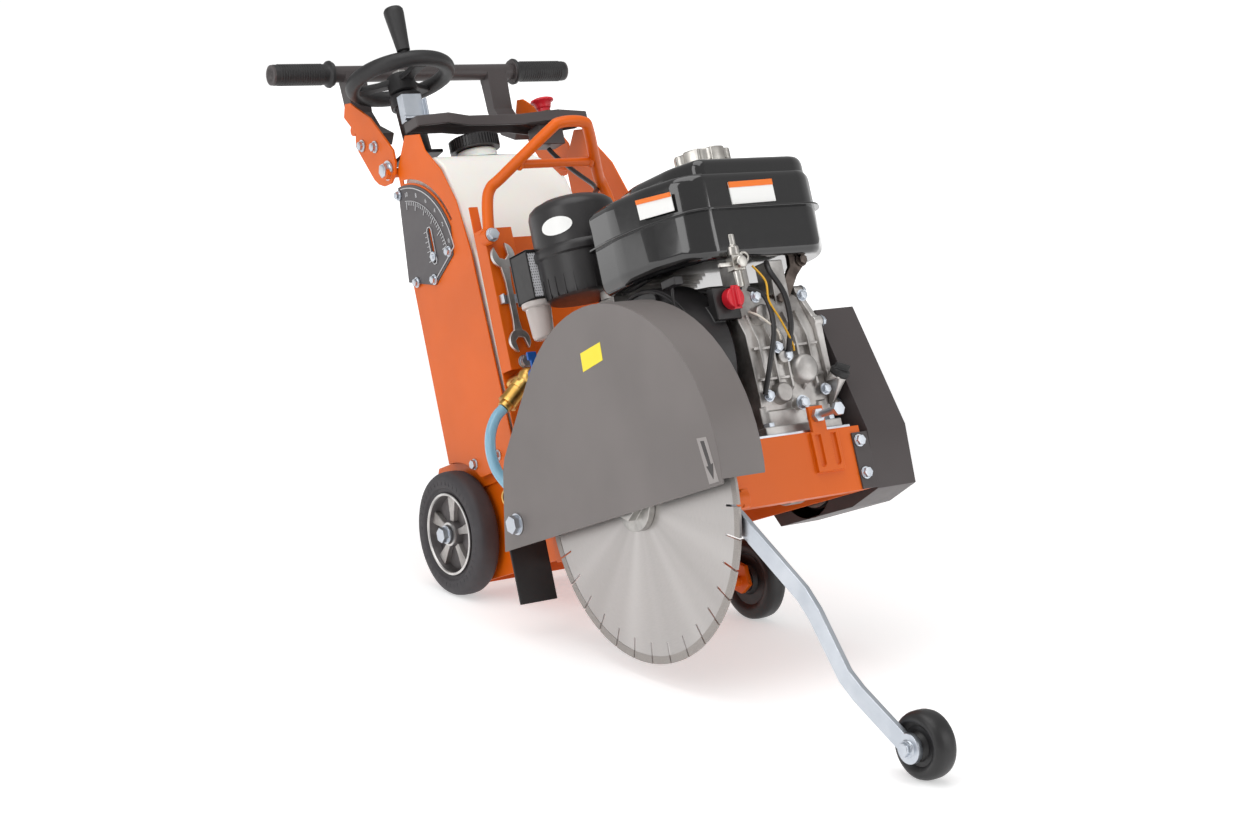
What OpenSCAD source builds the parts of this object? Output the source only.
// Walk-behind concrete saw, petrol, single blade on its right-hand side.
// +Z is up and the ground is z = 0. -Y is the cutting direction, +X is the machine's left.
// The saw stands in its transport position: the front axle is wound down and the nose is up.

/* [Chassis] */
// Nose-up angle of the chassis, degrees
pitch = 20; // [16:1:20]
// Half width of the operator console
console_half = 167; // [165:1:172]
// Thickness of the folded sheet
sheet = 3; // [2:0.5:3]

/* [Wheels] */
// Rear wheel diameter
rear_wheel_d = 200; // [190:2:200]
// Rear wheel width
rear_wheel_w = 42; // [36:1:42]
// Front wheel diameter
front_wheel_d = 125; // [115:1:125]
// Front wheel width
front_wheel_w = 35; // [30:1:36]
// Pointer wheel diameter
pointer_wheel_d = 85.4; // [75:0.1:85.4]

/* [Blade] */
// Blade diameter
blade_d = 450; // [400:10:450]
// Number of cutting segments
segments = 32; // [24:1:36]
// Arbor radius
arbor_r = 12.7; // [12.5:0.1:12.7]

/* [Handles] */
// Handlebar tube radius
bar_r = 14; // [12:1:15]
// Half length over the grips
bar_half = 293; // [270:1:300]
// Handwheel outer diameter
handwheel_d = 186; // [160:2:186]

/* [Hidden] */
$fn = 64;

// Places on the level chassis: [y, z] measured from the rear axle, before the nose is pitched up
handle = [116, 812];
handle_pivot = [-2, 601];
blade_axis = [-567, -46];
crank_axis = [-562, 134];
swing_pivot = [-150, -60];
front_axle = [-360, -171];
guard_pivot = [-302, -27];
pointer_pivot = [-735, -78];
pointer_axle = [-1003, -426];
belt_bolt = [-6, 20];

// Depth screw: wheel centre and backward lean
screw_x = -120;
wheel_c = [-4, 761];
screw_lean = 6;

grip_r = bar_r + 3;
rear_r = rear_wheel_d / 2;
front_r = front_wheel_d / 2;
pointer_r = pointer_wheel_d / 2;
blade_r = blade_d / 2;
handle_back = handle[0] * cos(pitch) + handle[1] * sin(pitch) + grip_r;
pointer_front = pointer_axle[0] * cos(pitch) + pointer_axle[1] * sin(pitch) - pointer_r;
axle_y = -(handle_back + pointer_front) / 2;

blade_x = -215;
guard_x = [-251, -179];
rail_right = -168;
rail_left = 70;
rear_rail = 150;
front_plate_y = -722;
belt_x = [80, 152];
arm_x = [-210, -202];
running = 0.05;

orange = [0.93, 0.36, 0.05];
dark_grey = [0.27, 0.26, 0.26];
guard_grey = [0.47, 0.45, 0.45];
black = [0.09, 0.09, 0.09];
zinc = [0.75, 0.76, 0.77];
cast = [0.69, 0.68, 0.66];

// ---------------------------------------------------------------- helpers

// Level chassis frame, pitched about the rear axle
module level() {
    translate([0, axle_y, rear_r]) rotate([-pitch, 0, 0]) children();
}

// Cylinder along X at p = [y, z]
module xcyl(x0, x1, p, r) {
    translate([x0, p[0], p[1]]) rotate([0, 90, 0]) cylinder(h = x1 - x0, r = r);
}

// Cylinder along Y at [x, z]
module ycyl(y0, y1, x, z, r) {
    translate([x, y1, z]) rotate([90, 0, 0]) cylinder(h = y1 - y0, r = r);
}

// Plate in a YZ plane between x0 and x1
module xplate(x0, x1) {
    translate([x0, 0, 0]) rotate([90, 0, 90]) linear_extrude(x1 - x0) children();
}

module block(x, y, z) {
    translate([x[0], y[0], z[0]]) cube([x[1] - x[0], y[1] - y[0], z[1] - z[0]]);
}

// Hexagon bolt head and washer, standing out along -X from x, at p = [y, z]
module xhead(x, p, af, out = -1) {
    wash = 2;
    head = af * 0.42;
    s = out < 0 ? 1 : 0;
    xcyl(x - wash * s, x + wash * (1 - s), p, af * 0.68);
    translate([out < 0 ? x - wash - head : x + wash, p[0], p[1]]) rotate([0, 90, 0])
        cylinder(h = head, r = af / sqrt(3), $fn = 6);
}

// Hexagon bolt head and washer, standing out along -Y from y
module yhead(x, y, z, af) {
    wash = 2;
    head = af * 0.42;
    ycyl(y - wash, y, x, z, af * 0.68);
    translate([x, y - wash, z]) rotate([90, 0, 0]) cylinder(h = head, r = af / sqrt(3), $fn = 6);
}

function arc(c, r, a0, a1, n) = [for (i = [0:n]) c + r * [cos(a0 + (a1 - a0) * i / n), sin(a0 + (a1 - a0) * i / n)]];
function unit(v) = v / norm(v);

// Round rod between two points
module rod(a, b, r) {
    d = b - a;
    h = norm(d);
    translate(a) rotate([0, acos(d[2] / h), atan2(d[1], d[0])]) cylinder(h = h, r = r);
}

// Catmull-Rom curve through hand-chosen points
function spline_at(a, b, c, d, t) = 0.5 * ((2 * b) + (c - a) * t + (2 * a - 5 * b + 4 * c - d) * t * t
    + (3 * b - a - 3 * c + d) * t * t * t);
function smooth_path(p, n) = concat([for (i = [0:len(p) - 2], k = [0:n - 1])
    spline_at(p[max(i - 1, 0)], p[i], p[i + 1], p[min(i + 2, len(p) - 1)], k / n)], [p[len(p) - 1]]);

// Flexible hose or cable swept along a route, with its rings turned about the reference direction
module sweep(p, r, sides, ref) {
    n = len(p);
    rings = [for (i = [0:n - 1]) let (t = unit(p[min(i + 1, n - 1)] - p[max(i - 1, 0)]),
        s = unit(cross(t, ref)), u = cross(s, t))
        for (k = [0:sides - 1]) p[i] + r * (cos(360 * k / sides) * s + sin(360 * k / sides) * u)];
    walls = [for (i = [0:n - 2], k = [0:sides - 1]) let (j = (k + 1) % sides)
        [i * sides + k, i * sides + j, (i + 1) * sides + j, (i + 1) * sides + k]];
    ends = [[for (k = [0:sides - 1]) sides - 1 - k], [for (k = [0:sides - 1]) (n - 1) * sides + k]];
    polyhedron(points = rings, faces = concat(walls, ends), convexity = 6);
}

// ---------------------------------------------------------------- chassis and console

module chassis_frame() {
    deck_back = -455;
    pan_z = [-90, 0];
    color(orange) level() difference() {
        union() {
            block([rail_right, rail_left], [front_plate_y, front_plate_y + 4], pan_z);
            block([rail_right, rail_right + 4], [front_plate_y, -256], pan_z);
            block([rail_left - 4, rail_left], [front_plate_y, -256], pan_z);
            block([rail_right, rail_left], [front_plate_y, deck_back], [-4, 0]);
            block([rail_right, rail_left], [front_plate_y, -690], [-90, -86]);
            // stepped-out rear box
            block([rail_right, -rear_rail + 4], [-260, -256], [-85, 60]);
            block([rail_left - 4, rear_rail], [-260, -256], [-85, 60]);
            for (s = [-1, 1]) block(s < 0 ? [-rear_rail, -rear_rail + 4] : [rear_rail - 4, rear_rail],
                [-260, 30], [-85, 70]);
            block([-rear_rail, rear_rail], [26, 30], [-85, 70]);
            block([-rear_rail, rear_rail], [-202, 30], [66, 70]);
            // axle bosses
            for (s = [-1, 1])
                xcyl(s < 0 ? -rear_rail - 6 : rear_rail - 24, s < 0 ? -rear_rail + 24 : rear_rail + 6, [0, 0], 20);
            // guard carrier, pointer lug
            xcyl(guard_x[0] + 3.4, rail_right + 4, guard_pivot, 16);
            xcyl(arm_x[1] + 0.4, rail_right + 4, pointer_pivot, 14);
            block([-176, rail_right + 4], [-747, -700], [-90, -66]);
            // belt tension bracket
            block([-22, 26], [front_plate_y - 6, front_plate_y], [-58, -2]);
            block([-18, 8], [front_plate_y - 6, front_plate_y], [-58, 34]);
        }
        xcyl(-160, 160, [0, 0], 10);
        xcyl(-rear_rail - 1, rear_rail + 1, swing_pivot, 10);
        xcyl(rail_right - 1, rail_left + 1, blade_axis, 24);
        xcyl(guard_x[0], rail_right + 5, guard_pivot, 8);
        xcyl(arm_x[0], rail_right + 5, pointer_pivot, 6);
        // notch for the front axle and slot for the left arm when they are swung up
        block([rail_left - 5, rail_left + 1], [-402, -370], [-91, -18]);
        block([78, 94], [-261, -255], [-86, -12]);
        translate([screw_x, -79, 60]) cylinder(h = 20, r = 22);
        for (x = [-11, 16]) {
            block([x - 5, x + 5], [front_plate_y - 7, front_plate_y - 2], [-46, -6]);
            ycyl(front_plate_y - 7, front_plate_y - 2, x, -46, 5);
        }
        ycyl(front_plate_y - 8, front_plate_y + 6, belt_bolt[0], belt_bolt[1], 5);
    }
}

module engine_plate() {
    color(zinc) level() difference() {
        block([-122, 60], [-716, -462], [0, 4]);
        block([-60, 10], [-640, -530], [-1, 5]);
    }
}

module console_side(s) {
    x0 = s < 0 ? -console_half : console_half - sheet;
    flange = s < 0 ? [-console_half, -console_half + 22] : [console_half - 22, console_half];
    difference() {
        union() {
            xplate(x0, x0 + sheet) polygon([[5, 72], [5, 430], [-16, 551], [-16, 600], [-60, 646], [-104, 634],
                [-112, 605], [-148, 561], [-174, 503], [-188, 418], [-196, 159], [-200, 75]]);
            block(flange, [2, 5], [72, 430]);
        }
        xcyl(s * console_half - 30, s * console_half + 30, [0, 0], 112);
        xcyl(x0 - 1, x0 + sheet + 1, handle_pivot, 8);
    }
}

module console_panels() {
    color(orange) level() {
        difference() {
            console_side(-1);
            // curved slot above the depth gauge
            xplate(-console_half - 1, -console_half + sheet + 1)
                polygon(concat(arc([-5, 425], 151, 98, 160, 12), arc([-5, 425], 157, 160, 98, 12)));
            // slot for the depth indicator
            block([-console_half - 1, -console_half + sheet + 1], [-86, -78], [428, 486]);
        }
        console_side(1);
    }
}

module console_front() {
    in = console_half - sheet;
    color(orange) level() difference() {
        union() {
            block([-in, in], [-205, -202], [75, 430]);
            block([-in, -148], [-205, -202], [430, 482]);
            for (x = [[-in, -112], [44, 96]]) difference() {
                block(x, [-232, -205], [215, 440]);
                block([x[0] + sheet, x[1] - sheet], [-229, -204], [214, 437]);
            }
            block([-in, in], [-202, -1], [112, 115]);
        }
        translate([screw_x, -71, 100]) cylinder(h = 30, r = 20);
        xcyl(-in - 1, in + 1, [0, 0], 112);
    }
}

module console_cover() {
    plan = [[-166, -106], [-112, -120], [-62, -100], [36, -100], [100, -120], [166, -106], [166, -64],
        [100, -30], [36, -52], [-62, -52], [-98, -62], [-166, -62]];
    color(dark_grey) level() {
        difference() {
            translate([0, 0, 647]) linear_extrude(18) polygon(plan);
            translate([0, 0, 640]) linear_extrude(22) offset(delta = -3) polygon(plan);
            // hole for the stop button's stem
            translate([94, -86, 655]) cylinder(h = 15, r = 11.6);
        }
        // switch box hung under the left end
        block([70, 118], [-96, -60], [612, 647]);
    }
}

module water_tank() {
    tank_x = [-158, 66];
    color([0.93, 0.92, 0.89]) level() difference() {
        union() {
            xplate(tank_x[0], tank_x[1]) polygon([[-18, 116], [-18, 580], [-30, 592], [-118, 592], [-142, 570],
                [-166, 500], [-180, 430], [-196, 400], [-196, 116]]);
            translate([-49, -76, 590]) cylinder(h = 20, r = 34);
        }
        // channel that lets the depth screw pass behind
        block([-146, -92], [-96, -10], [110, 600]);
        // sloping left shoulder
        translate([30, -250, 592]) rotate([0, 60, 0]) cube([60, 300, 60]);
    }
}

module water_cap() {
    color(black) level() translate([-49, -76, 610.3]) {
        difference() {
            cylinder(h = 24, r = 42);
            for (a = [0:15:345]) rotate(a) translate([43.5, 0, -1]) cylinder(h = 21, r = 2.5);
        }
    }
}

module blade_bearings() {
    color(cast) level() for (x = [[-164, -138], [40, 66]]) difference() {
        union() {
            xcyl(x[0], x[1], blade_axis, 38);
            for (s = [-1, 1]) xcyl(x[0] < 0 ? x[0] : x[1] - 12, x[0] < 0 ? x[0] + 12 : x[1],
                blade_axis + [s * 46, 0], 15);
            block(x[0] < 0 ? [x[0], x[0] + 12] : [x[1] - 12, x[1]],
                [blade_axis[0] - 46, blade_axis[0] + 46], [blade_axis[1] - 15, blade_axis[1] + 15]);
        }
        xcyl(x[0] - 1, x[1] + 1, blade_axis, 17.5 + running);
    }
}

module belt_guard() {
    profile = [[-722, -92], [-727, -8], [-672, 178], [-470, 178], [-457, 140], [-457, -50], [-492, -108], [-660, -108]];
    color(dark_grey) level() {
        difference() {
            xplate(belt_x[0], belt_x[1]) polygon(profile);
            xplate(belt_x[0] + 2, belt_x[1] - 2) offset(delta = -2) polygon(profile);
            xcyl(belt_x[0] - 1, belt_x[0] + 3, crank_axis, 62);
            xcyl(belt_x[0] - 1, belt_x[0] + 3, blade_axis, 62);
            block([belt_x[0] - 1, belt_x[0] + 3], [-600, -530], [-46, 134]);
        }
        block([52, belt_x[0]], [-725, -722], [-90, -10]);
    }
}

bail_mid = -40;
module lifting_bail() {
    function side(s) = [[s * 122, -242, 424], [s * 113, -243, 478], [s * 104, -247, 500], [s * 90, -262, 512],
        [s * 38, -334, 560], [s * 20, -347, 570]];
    color(orange) level() translate([bail_mid, 0, 0]) {
        sweep(smooth_path(concat(side(-1), [for (i = [5:-1:0]) side(1)[i]]), 3), 9, 12, [0, 1, 0]);
        xcyl(-74, 74, [-282, 525], 7);
        for (s = [-1, 1]) ycyl(-251, -232, s * 122, 424, 12);
    }
}

module frame_bolts() {
    color(zinc) level() {
        // console side
        xhead(-console_half, [-76, 97], 13);
        xhead(-console_half, [-150, 97], 13);
        xhead(console_half, [-76, 97], 13, 1);
        // bail and pillar
        for (s = [-1, 1]) yhead(bail_mid + s * 122, -251, 424, 16);
        yhead(-138, -232, 225, 16);
        // guard pivot bolt
        xcyl(guard_x[0] - 0.4, -170, guard_pivot, 8 - running);
        xhead(guard_x[0] - 0.4, guard_pivot, 24);
        // pointer pivot pin
        xcyl(arm_x[0] - 0.4, -170, pointer_pivot, 6 - running);
        // belt guard flange
        for (z = [-22, -68]) yhead(62, -725, z, 13);
        // belt tension bolt and nut
        ycyl(-772, -712, belt_bolt[0], belt_bolt[1], 5 - running);
        translate([belt_bolt[0], -772, belt_bolt[1]]) rotate([90, 0, 0]) cylinder(h = 7, r = 9.8, $fn = 6);
        translate([belt_bolt[0], -728, belt_bolt[1]]) rotate([90, 0, 0]) cylinder(h = 8, r = 9.8, $fn = 6);
        // engine feet
        for (x = [-66, 42], y = [-696, -482]) translate([x, y, 16]) cylinder(h = 6, r = 8.6, $fn = 6);
    }
}

module water_fittings() {
    color([0.78, 0.62, 0.33]) level() {
        // valve body on the pillar, coupling and hose tail
        ycyl(-262, -205, -150, 197, 12);
        translate([-150, -252, 197]) sphere(r = 16);
        rod([-150, -252, 197], [-196, -240, 156], 11);
        rod([-168, -247, 181], [-188, -242, 163], 15);
        // water inlet nipple, free at its rear end
        xcyl(-150, -118, [-252, 197], 9);
        // spray pipe boss on the rail
        xcyl(-196, rail_right, [-240, 20], 9);
    }
}

module valve_lever() {
    color([0.1, 0.35, 0.75]) level() translate([-150, -268.4, 197]) {
        rotate([90, 0, 0]) cylinder(h = 8, r = 10);
        translate([-4, -8, 0]) cube([8, 5, 26]);
        translate([-8, -8, 22]) cube([16, 5, 13]);
    }
}

hose_route = [[-196, -240, 156], [-209, -233, 144], [-218, -224, 122], [-219, -216, 96], [-214, -214, 66],
    [-205, -225, 38], [-196, -240, 20]];

module water_hose() {
    difference() {
        color([0.6, 0.8, 0.88]) level() sweep(smooth_path(hose_route, 3), 8.5, 12, [1, 0, 0.01]);
        water_fittings();
    }
}

gauge_c = [-5, 425];
module depth_gauge() {
    color([0.36, 0.34, 0.34]) level() difference() {
        xplate(-console_half - 2, -console_half)
            polygon(concat([[14, 419], [-68, 393], [-138, 424]], arc(gauge_c, 148, 163, 92, 16)));
        block([-console_half - 3, -console_half + 1], [-86, -78], [432, 482]);
        xcyl(-console_half - 3, -console_half + 1, [-86 + 4, 482], 4);
        xcyl(-console_half - 3, -console_half + 1, [-86 + 4, 432], 4);
    }
}

module depth_indicator() {
    color(zinc) level() {
        xcyl(-console_half - 8, -console_half + 6, [-82, 437], 3.6);
        xcyl(-console_half - 6, -console_half - 2.3, [-82, 437], 8);
        xcyl(-console_half + 3.3, -console_half + 6, [-82, 437], 8);
    }
}

module spanner_clip() {
    color(zinc) level() {
        block([-158, -120], [-234.5, -232], [318, 332]);
        block([-160, -157.5], [-246, -232], [318, 332]);
        block([-129.5, -127], [-246, -232], [318, 332]);
    }
}

module spanner() {
    // open-ended spanner clipped upright on the pillar
    color(zinc) level() translate([-143.5, -240, 0]) rotate([90, 0, 0]) difference() {
        linear_extrude(6, center = true) union() {
            polygon([[-7, 270], [7, 270], [9, 380], [-9, 380]]);
            translate([0, 393]) circle(r = 21);
            translate([0, 257]) circle(r = 19);
        }
        translate([0, 399, 0]) rotate([0, 0, 12]) translate([-11, -4, -5]) cube([22, 40, 10]);
        translate([0, 251, 0]) rotate([0, 0, 192]) translate([-10, -4, -5]) cube([20, 40, 10]);
    }
}

module axle_pins() {
    color(zinc) level() {
        for (s = [-1, 1]) {
            xcyl(s < 0 ? -200 : rear_rail - 24, s < 0 ? -rear_rail + 24 : 200, [0, 0], 10 - running);
            xhead(s * 200, [0, 0], 22, s);
        }
        xcyl(-rear_rail, rear_rail, swing_pivot, 10 - running);
    }
}

// ---------------------------------------------------------------- engine

cyl_tilt = 25;
module along_cylinder() {
    translate([0, crank_axis[0], crank_axis[1]]) rotate([cyl_tilt, 0, 0]) children();
}

module crankcase() {
    color(cast) level() difference() {
        union() {
            xplate(-66, 56) polygon([[-482, 20], [-684, 20], [-690, 60], [-688, 150], [-668, 200], [-630, 234],
                [-560, 244], [-500, 236], [-470, 190], [-470, 60]]);
            // feet
            block([-80, 56], [-706, -668], [4, 16]);
            block([-80, 56], [-500, -470], [4, 16]);
            block([-66, 56], [-690, -470], [10, 40]);
            // finned barrel
            along_cylinder() {
                block([-52, 42], [70, 178], [-46, 46]);
                for (y = [100:9:172]) block([-62, 52], [y, y + 3.5], [-56, 56]);
                block([-60, 50], [178, 214], [-54, 54]);
            }
            // tank pillar and bosses
            block([14, 40], [-672, -640], [180, 256]);
            block([-50, -26], [-672, -640], [190, 256]);
            ycyl(-700, -680, -16, 112, 9);
            ycyl(-702, -680, -4, 44, 8);
        }
        xcyl(-70, 60, crank_axis, 62);
        // room for the feet's bolt heads and for the control box
        for (x = [-66, 42], y = [-696, -482]) translate([x, y, 16]) cylinder(h = 30, r = 12);
        block([-67, -58], [-680, -664], [176, 222]);
    }
}

module crankcase_cover() {
    p = [[-490, 34], [-690, 34], [-697, 80], [-694, 160], [-664, 214], [-600, 244], [-520, 238], [-476, 180], [-474, 80]];
    color(cast) level() difference() {
        union() {
            xplate(56, 66) polygon(p);
            xcyl(66, 74, crank_axis, 60);
            for (q = p) xcyl(56, 72, q + 0.05 * (crank_axis - q), 8);
            // oil filler neck
            difference() {
                rod([50, -680, 38], [63, -711, 75], 12);
                block([0, 56], [-720, -640], [0, 70]);
            }
        }
        xcyl(55, 75, crank_axis, 30);
    }
}

module oil_dipstick() {
    color([0.3, 0.29, 0.29]) level() translate([63, -711, 75]) rotate([38.3, 19.4, 0]) {
        translate([0, 0, 0.4]) cylinder(h = 9, r = 14);
        translate([-12, -2.5, 9]) cube([24, 5, 9]);
    }
}

module fan_cover() {
    color(black) level() difference() {
        union() {
            xcyl(-140, -80.5, crank_axis, 116);
            xcyl(-173, -140, crank_axis, 92);
            block([-136, -80.5], [-562, -440], [150, 226]);
            // control box that carries the engine switch
            block([-100, -58], [-680, -664], [176, 222]);
            block([-100, -80.5], [-670, -640], [150, 200]);
        }
        xcyl(-138, -70, crank_axis, 112);
        xcyl(-170, -130, crank_axis, 60);
        // cooling air louvres
        for (a = [0:20:340]) translate([-174, crank_axis[0], crank_axis[1]]) rotate([a, 0, 0])
            translate([0, -3, 68]) cube([5, 6, 16]);
    }
}

module recoil_grip() {
    color(black) level() {
        block([-160, -144], [-678, -646], [231, 243]);
        rod([-152, -655, 205], [-152, -660, 234], 2);
    }
}

module rocker_cover() {
    color(cast) level() along_cylinder() {
        block([-54, 44], [214, 238], [-48, 48]);
        block([-44, 34], [238, 250], [-38, 38]);
    }
}

module carburettor() {
    color([0.6, 0.58, 0.55]) level() {
        block([-112, -62], [-462, -412], [226, 268]);
        translate([-92, -437, 262]) cylinder(h = 20, r = 20);
        xcyl(-136, -112, [-437, 250], 9);
    }
}

module air_cleaner() {
    c = [-110, -398];
    color(black) level() {
        translate([c[0], c[1], 282]) cylinder(h = 138, r = 66);
        translate([c[0], c[1], 350]) cylinder(h = 8, r = 69);
        translate([c[0], c[1], 420]) cylinder(h = 12, r1 = 64, r2 = 44);
        // intake snorkel
        difference() {
            block([-206, -150], [-372, -318], [292, 372]);
            block([-203, -160], [-376, -322], [296, 368]);
        }
    }
}

module precleaner_cup() {
    color([0.93, 0.91, 0.88]) level() difference() {
        union() {
            translate([-182, -345, 232]) cylinder(h = 52, r1 = 20, r2 = 25);
            translate([-182, -345, 284]) cylinder(h = 8, r = 31);
            block([-200, -164], [-369, -366], [296, 366]);
        }
        // collar and screen end where the canister begins
        translate([-110, -398, 281]) cylinder(h = 92, r = 69.2);
    }
}

tank_plan = [[-96, -700], [100, -694], [132, -668], [142, -630], [142, -486], [-154, -486], [-160, -560],
    [-150, -624], [-124, -680]];

module fuel_tank() {
    color(black) level() {
        translate([0, 0, 331]) linear_extrude(74) offset(r = -3) polygon(tank_plan);
        translate([0, 0, 328]) linear_extrude(3) offset(delta = 6) polygon(tank_plan);
        translate([0, 0, 256]) linear_extrude(72) offset(r = -5) polygon(tank_plan);
        translate([-2, -596, 405]) cylinder(h = 6, r = 34);
    }
}

module fuel_cap() {
    color([0.78, 0.77, 0.75]) level() translate([-2, -596, 411.3]) difference() {
        cylinder(h = 27, r = 41);
        for (a = [0:60:300]) rotate(a) translate([46, 0, 8]) cylinder(h = 30, r = 11);
    }
}

module muffler() {
    color([0.35, 0.33, 0.32]) level() difference() {
        union() {
            block([-30, 76], [-444, -336], [268, 372]);
            ycyl(-336, -316, 40, 330, 14);
            block([-10, 20], [-420, -396], [248, 268]);
        }
        // its underside is cut to follow the barrel and the rocker cover
        along_cylinder() block([-63, 80], [60, 251], [-80, 57]);
    }
}

module engine_switch() {
    color([0.8, 0.1, 0.12]) level() {
        ycyl(-696, -680.3, -74, 203, 15);
        block([-78, -70], [-704, -696], [189, 217]);
    }
}

throttle_route = [[92, -80, 608], [94, -96, 588], [88, -150, 545], [70, -220, 500], [20, -280, 470],
    [-30, -320, 462], [-60, -340, 450]];
lead_route = [[-74, -673, 172], [-70, -690, 150], [-62, -706, 120], [-58, -704, 84], [-66, -696, 50]];

module cables() {
    color(black) level() {
        sweep(smooth_path(throttle_route, 4), 4, 8, [0, 0, 1]);
        sweep(smooth_path(lead_route, 3), 4, 8, [1, 0, 0]);
    }
}

belt_pitch_x = [104, 118, 132];
crank_pr = 37;
shaft_pr = 48;
module drive_belts() {
    r0 = crank_pr - 6;
    r1 = shaft_pr - 6;
    color(black) level() for (x = belt_pitch_x) difference() {
        xplate(x - 5, x + 5) hull() {
            translate(crank_axis) circle(r = r0 + 9);
            translate(blade_axis) circle(r = r1 + 9);
        }
        xplate(x - 6, x + 6) hull() {
            translate(crank_axis) circle(r = r0 + 0.4);
            translate(blade_axis) circle(r = r1 + 0.4);
        }
    }
}

module grooved_pulley(p, r, bore) {
    difference() {
        xcyl(94, 142, p, r);
        for (x = belt_pitch_x) difference() {
            xcyl(x - 5.4, x + 5.4, p, r + 1);
            xcyl(x - 6, x + 6, p, r - 6);
        }
        xcyl(93, 143, p, bore);
    }
}

module crank_pulley() {
    color([0.3, 0.3, 0.31]) level() grooved_pulley(crank_axis, crank_pr, 12.7);
}

module shaft_pulley() {
    color([0.3, 0.3, 0.31]) level() grooved_pulley(blade_axis, shaft_pr, 15);
}

module crankshaft() {
    color([0.55, 0.55, 0.55]) level() {
        xcyl(-132, 142, crank_axis, 12.7);
        // flywheel and crank webs
        xcyl(-128, -92, crank_axis, 104);
        xcyl(-40, 40, crank_axis, 50);
    }
}

// ---------------------------------------------------------------- depth screw

// Frame with Z up the screw and its origin at the handwheel centre
module on_screw() {
    level() translate([screw_x, wheel_c[0], wheel_c[1]]) rotate([-screw_lean, 0, 0]) children();
}

module handwheel() {
    rim_r = 13;
    ring = handwheel_d / 2 - rim_r;
    color([0.2, 0.19, 0.19]) on_screw() difference() {
        union() {
            rotate_extrude() translate([ring, 0]) circle(r = rim_r);
            translate([0, 0, -28]) cylinder(h = 34, r = 24);
            for (a = [30, 150, 270]) rotate(a) translate([0, -11, -10]) cube([ring - 4, 22, 9]);
        }
        rotate(250) translate([ring, 0, 2]) cylinder(h = 30, r = 6);
        translate([0, 0, -30]) cylinder(h = 40, r = 10);
    }
}

module spinner_grip() {
    ring = handwheel_d / 2 - 13;
    color(black) on_screw() rotate(250) translate([ring, 0, 0]) {
        translate([0, 0, 2.3]) cylinder(h = 14, r = 6 - running);
        translate([0, 0, 14]) cylinder(h = 74, r1 = 11, r2 = 16.5);
        translate([0, 0, 88]) cylinder(h = 4, r1 = 16.5, r2 = 12);
    }
}

module depth_spindle() {
    color(zinc) on_screw() {
        translate([0, 0, -862]) cylinder(h = 868, r = 10);
        translate([0, 0, 6]) cylinder(h = 6, r = 12, $fn = 6);
    }
}

nut_drop = 781.6;
module spindle_nut() {
    color(cast) on_screw() translate([0, 0, -nut_drop]) difference() {
        union() {
            translate([-16, -16, -18]) cube([32, 32, 36]);
            translate([-25.5, 0, 0]) rotate([0, 90, 0]) cylinder(h = 51, r = 6);
        }
        translate([0, 0, -20]) cylinder(h = 40, r = 10 + running);
    }
}

module spindle_housing() {
    color([0.16, 0.15, 0.15]) on_screw() difference() {
        union() {
            translate([0, 0, -142]) cylinder(h = 112, r = 21);
            translate([0, 0, -52]) cylinder(h = 20, r = 27);
            translate([-44, -32, -146]) cube([70, 60, 6]);
        }
        translate([0, 0, -150]) cylinder(h = 120, r = 10 + running);
    }
}

module spindle_latch() {
    color(zinc) level() {
        block([-158, -122], [-62, -59], [670, 716]);
        block([-158, -155], [-59, -44], [670, 716]);
        block([-122, -119], [-72, -59], [676, 706]);
        xcyl(-164, -118, [-66, 674], 4);
    }
}

// ---------------------------------------------------------------- running gear

module tyre(x, r, rim, w) {
    shoulder = 6;
    color([0.2, 0.2, 0.2]) level() translate([x, 0, 0]) rotate([0, 90, 0]) rotate_extrude()
        polygon([[rim, -w / 2 + 3], [r - shoulder * 2, -w / 2], [r - shoulder / 2, -w / 2 + shoulder],
            [r, -w / 2 + shoulder * 2], [r, w / 2 - shoulder * 2], [r - shoulder / 2, w / 2 - shoulder],
            [r - shoulder * 2, w / 2], [rim, w / 2 - 3]]);
}

module hub(x, rim, w) {
    color(cast) level() translate([x, 0, 0]) rotate([0, 90, 0]) difference() {
        union() {
            difference() {
                cylinder(h = w - 8, r = rim, center = true);
                cylinder(h = w, r = rim - 6, center = true);
            }
            cylinder(h = w - 4, r = 20, center = true);
            for (a = [0:72:288]) rotate(a + 18) translate([15, -6, -9]) cube([rim - 18, 12, 18]);
            cylinder(h = 5, r = rim - 3, center = true);
        }
        cylinder(h = w, r = 10 + running, center = true);
    }
}

rear_x = 200 - rear_wheel_w / 2 - 1.5;
rear_rim = 66;
module rear_tyre_left() { tyre(rear_x, rear_r, rear_rim, rear_wheel_w); }
module rear_tyre_right() { tyre(-rear_x, rear_r, rear_rim, rear_wheel_w); }
module rear_hub_left() { hub(rear_x, rear_rim, rear_wheel_w); }
module rear_hub_right() { hub(-rear_x, rear_rim, rear_wheel_w); }

front_x = 94 + front_wheel_w / 2;
module front_wheel(x) {
    w = front_wheel_w;
    r = front_r;
    color([0.2, 0.2, 0.2]) level() translate([x, front_axle[0], front_axle[1]]) rotate([0, 90, 0])
        rotate_extrude() polygon([[8 + running, -w / 2], [20, -w / 2], [24, -w / 2 + 6], [40, -w / 2 + 6],
            [46, -w / 2 + 1], [r - 5, -w / 2 + 1], [r, -w / 2 + 6], [r, w / 2 - 6], [r - 5, w / 2 - 1],
            [46, w / 2 - 1], [40, w / 2 - 6], [24, w / 2 - 6], [20, w / 2], [8 + running, w / 2]]);
}
module front_wheel_left() { front_wheel(front_x); }
module front_wheel_right() { front_wheel(-front_x); }

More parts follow.
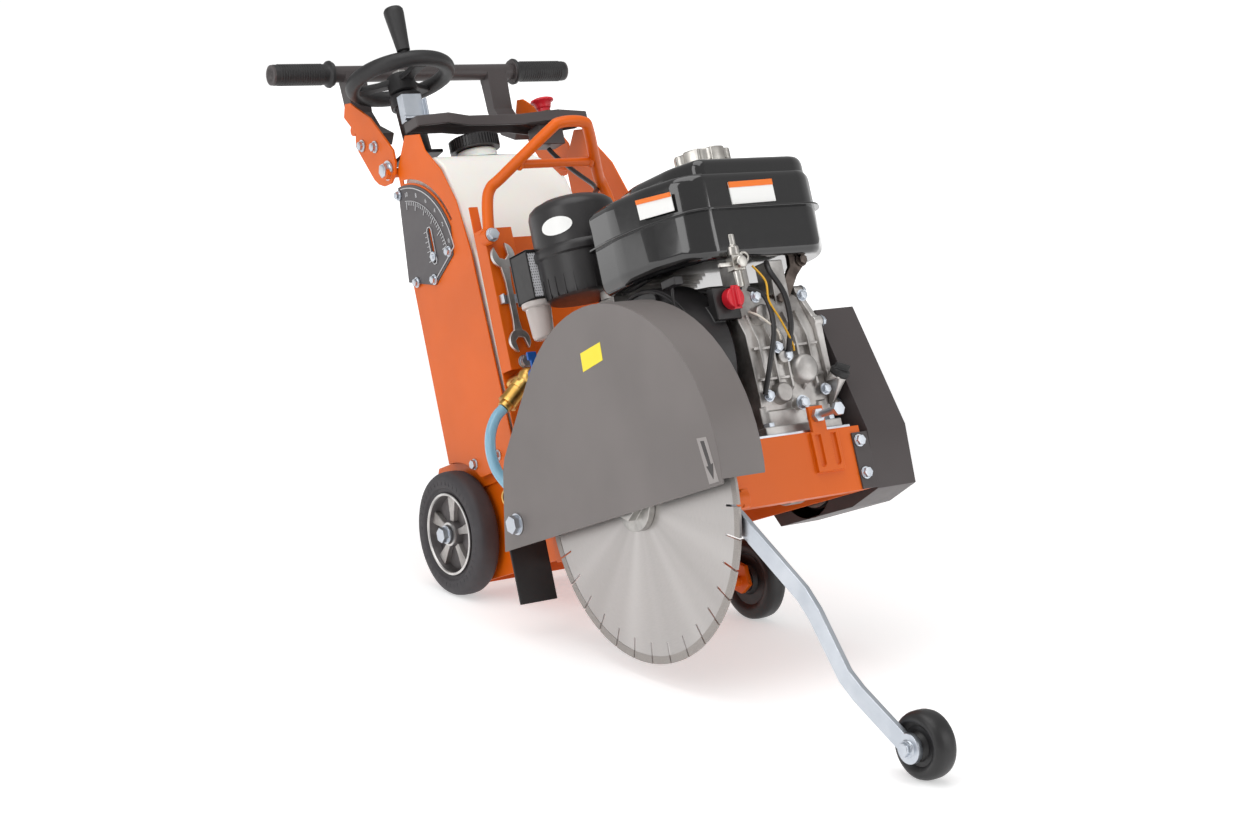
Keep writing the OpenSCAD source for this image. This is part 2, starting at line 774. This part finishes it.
module swing_arm() {
    lever_len = 84;
    lever_a = 35.5;
    color(orange) level() {
        difference() {
            union() {
                for (x = [[-90, -82], [82, 90]]) xplate(x[0], x[1]) polygon([swing_pivot + [22, 16],
                    swing_pivot + [-10, 24], front_axle + [-20, 20], front_axle + [-22, -10],
                    front_axle + [0, -20], swing_pivot + [24, -14]]);
                xcyl(-144, 144, swing_pivot, 18);
                // forked lever worked by the depth screw nut
                for (x = [-145, -102]) xplate(x, x + 7) translate(swing_pivot) rotate(lever_a) difference() {
                    translate([0, -16]) square([lever_len, 32]);
                    translate([50, -8.8]) square([lever_len, 17.6]);
                }
            }
            xcyl(-150, 150, swing_pivot, 10 + running);
        }
        xcyl(-133, 133, front_axle, 8);
        for (s = [-1, 1]) xcyl(s < 0 ? -141 : 133, s < 0 ? -133 : 141, front_axle, 13);
    }
}

// Outline of a bent flat bar of width w along a path
function bar_side(p, w) = [for (i = [0:len(p) - 1])
    let (t = unit(unit(p[min(i + 1, len(p) - 1)] - p[min(i, len(p) - 2)]) + unit(p[max(i, 1)] - p[max(i - 1, 0)])))
    p[i] + w / 2 * [-t[1], t[0]]];
function bar_outline(p, w) = concat(bar_side(p, w), [for (i = [len(p) - 1:-1:0]) bar_side(p, -w)[i]]);

module pointer_arm() {
    path = [pointer_pivot, [-769, -106], [-800, -142], [-866, -218], [-882, -246], [-914, -328], [-932, -352],
        [-976, -398], pointer_axle];
    color(zinc) level() difference() {
        union() {
            xplate(arm_x[0], arm_x[1]) polygon(bar_outline(path, 25));
            xcyl(arm_x[0], arm_x[1], pointer_pivot, 16);
            xcyl(arm_x[0], arm_x[1], pointer_axle, 19);
            xcyl(arm_x[1] - 2, -160, pointer_axle, 6);
            xcyl(-160, -156, pointer_axle, 10);
            xhead(arm_x[0], pointer_axle, 16);
        }
        xcyl(arm_x[0] - 1, arm_x[1] + 1, pointer_pivot, 6 + running);
    }
}

module pointer_wheel() {
    w = 34;
    r = pointer_r;
    color([0.13, 0.13, 0.13]) level() translate([-181, pointer_axle[0], pointer_axle[1]]) rotate([0, 90, 0])
        rotate_extrude() polygon(concat([[6 + running, -w / 2 - 2], [14, -w / 2 - 2], [18, -w / 2 + 6], [26, -w / 2 + 6]],
            [for (a = [-80:20:80]) [r - 12 + 12 * cos(a), 17 * sin(a)]],
            [[26, w / 2 - 6], [18, w / 2 - 6], [14, w / 2 + 2], [6 + running, w / 2 + 2]]));
}

// ---------------------------------------------------------------- blade and guard

module blade_shaft() {
    color([0.6, 0.6, 0.6]) level() {
        xcyl(-203, 90, blade_axis, 17.5);
        xcyl(90, 146, blade_axis, 15);
        xcyl(-243, -203, blade_axis, arbor_r);
    }
}

module blade_flanges() {
    color([0.5, 0.48, 0.46]) level() {
        for (x = [[-213.4, -203], [-227, -216.6]]) difference() {
            xcyl(x[0], x[1], blade_axis, x[0] < -220 ? 40 : 50);
            xcyl(x[0] - 1, x[1] + 1, blade_axis, arbor_r);
        }
        difference() {
            translate([-240, blade_axis[0], blade_axis[1]]) rotate([0, 90, 0]) cylinder(h = 13, r = 24, $fn = 6);
            xcyl(-241, -226, blade_axis, arbor_r);
        }
    }
}

module blade() {
    core_t = 2.8;
    seg_t = 3.8;
    seg_h = 11;
    gap = 3;
    step = 360 / segments;
    half_gap = asin(gap / 2 / blade_r);
    color([0.74, 0.73, 0.72]) level() translate([blade_x, blade_axis[0], blade_axis[1]]) {
        difference() {
            rotate([0, 90, 0]) cylinder(h = core_t, r = blade_r - seg_h, center = true);
            rotate([0, 90, 0]) cylinder(h = core_t + 1, r = arbor_r, center = true);
            for (i = [0:segments - 1]) rotate([i * step, 0, 0])
                translate([-core_t, -gap / 2, blade_r - 30]) cube([core_t * 2, gap, 30]);
        }
        for (i = [0:segments - 1]) rotate([i * step, 0, 0]) xplate(-seg_t / 2, seg_t / 2)
            polygon(concat(arc([0, 0], blade_r, 90 + half_gap, 90 + step - half_gap, 3),
                arc([0, 0], blade_r - seg_h, 90 + step - half_gap * 1.1, 90 + half_gap * 1.1, 3)));
    }
}

guard_c = [-570, -12];
guard_r = 244;
guard_outline = concat([[-251, -61], [-290, 54], [-301, 72], [-332, 101]], arc(guard_c, guard_r, 48, 191.5, 26));

module blade_guard() {
    color(guard_grey) level() difference() {
        union() {
            xplate(guard_x[0], guard_x[0] + sheet) polygon(guard_outline);
            difference() {
                xplate(guard_x[0], guard_x[1]) polygon(guard_outline);
                xplate(guard_x[0] + sheet, guard_x[1] - sheet) offset(delta = -sheet) polygon(guard_outline);
                xplate(guard_x[1] - sheet - 1, guard_x[1] + 1) offset(delta = -12) polygon(guard_outline);
                block([guard_x[0] + sheet, guard_x[1] + 1], [-810, -256], [-62, -40]);
            }
        }
        xcyl(guard_x[0] - 1, guard_x[0] + sheet + 1, guard_pivot, 8 + running);
    }
}

module splash_flap() {
    difference() {
        color(black) level() block([guard_x[0] + sheet + 0.5, guard_x[1] - 4], [-262, -258], [-143, -38]);
        blade_guard();
    }
}

// ---------------------------------------------------------------- handles and controls

module handlebar() {
    color(dark_grey) level() {
        xcyl(-bar_half + 112, bar_half - 112, handle, bar_r);
        for (s = [-1, 1]) {
            // folded uprights
            x = s < 0 ? [-160, -122] : [122, 160];
            xplate(x[0], x[1]) polygon([[102, 812], [130, 812], [128, 740], [100, 690], [60, 668], [46, 684], [86, 710], [104, 740]]);
            xcyl(s < 0 ? -bar_half : bar_half - 112, s < 0 ? -bar_half + 112 : bar_half, handle, grip_r);
            xcyl(s * (bar_half - 112) - 2, s * (bar_half - 112) + 2, handle, grip_r + 4);
        }
    }
}

module tilt_plates() {
    outline = [[101, 754], [113, 734], [84, 697], [92, 676], [52, 606], [40, 594], [24, 586], [0, 584], [-18, 594],
        [-26, 612], [-26, 633], [27, 705], [84, 750]];
    color(orange) level() for (s = [-1, 1]) {
        xplate(s < 0 ? -174 : 170, s < 0 ? -170 : 174) polygon(outline);
        // spacer blocks up to the uprights
        xcyl(s < 0 ? -170 : 160, s < 0 ? -160 : 170, [98, 706], 9);
        xcyl(s < 0 ? -170 : 160, s < 0 ? -160 : 170, [66, 682], 9);
        for (p = [[68, 670], [27, 655]]) xhead(s * 174, p, 12, s);
        xhead(s * 174, handle_pivot, 19, s);
        xcyl(s < 0 ? -174 : 156, s < 0 ? -156 : 174, handle_pivot, 8 - running);
    }
}

module stop_button() {
    color([0.8, 0.08, 0.12]) level() translate([94, -86, 665.3]) {
        cylinder(h = 14, r = 11);
        translate([0, 0, 14]) cylinder(h = 12, r1 = 14, r2 = 20);
        translate([0, 0, 26]) cylinder(h = 4, r1 = 20, r2 = 17);
    }
}

chassis_frame();
engine_plate();
console_panels();
console_front();
console_cover();
water_tank();
water_cap();
blade_bearings();
belt_guard();
lifting_bail();
frame_bolts();
water_fittings();
valve_lever();
water_hose();
depth_gauge();
depth_indicator();
spanner_clip();
spanner();
axle_pins();
crankcase();
crankcase_cover();
fan_cover();
recoil_grip();
rocker_cover();
carburettor();
air_cleaner();
precleaner_cup();
fuel_tank();
fuel_cap();
muffler();
oil_dipstick();
engine_switch();
cables();
drive_belts();
spindle_housing();
spindle_latch();
rear_tyre_left();
rear_hub_left();
rear_tyre_right();
rear_hub_right();
front_wheel_left();
front_wheel_right();
swing_arm();
handwheel();
spinner_grip();
depth_spindle();
spindle_nut();
blade_shaft();
shaft_pulley();
blade_flanges();
blade();
crankshaft();
crank_pulley();
blade_guard();
splash_flap();
pointer_arm();
pointer_wheel();
handlebar();
tilt_plates();
stop_button();
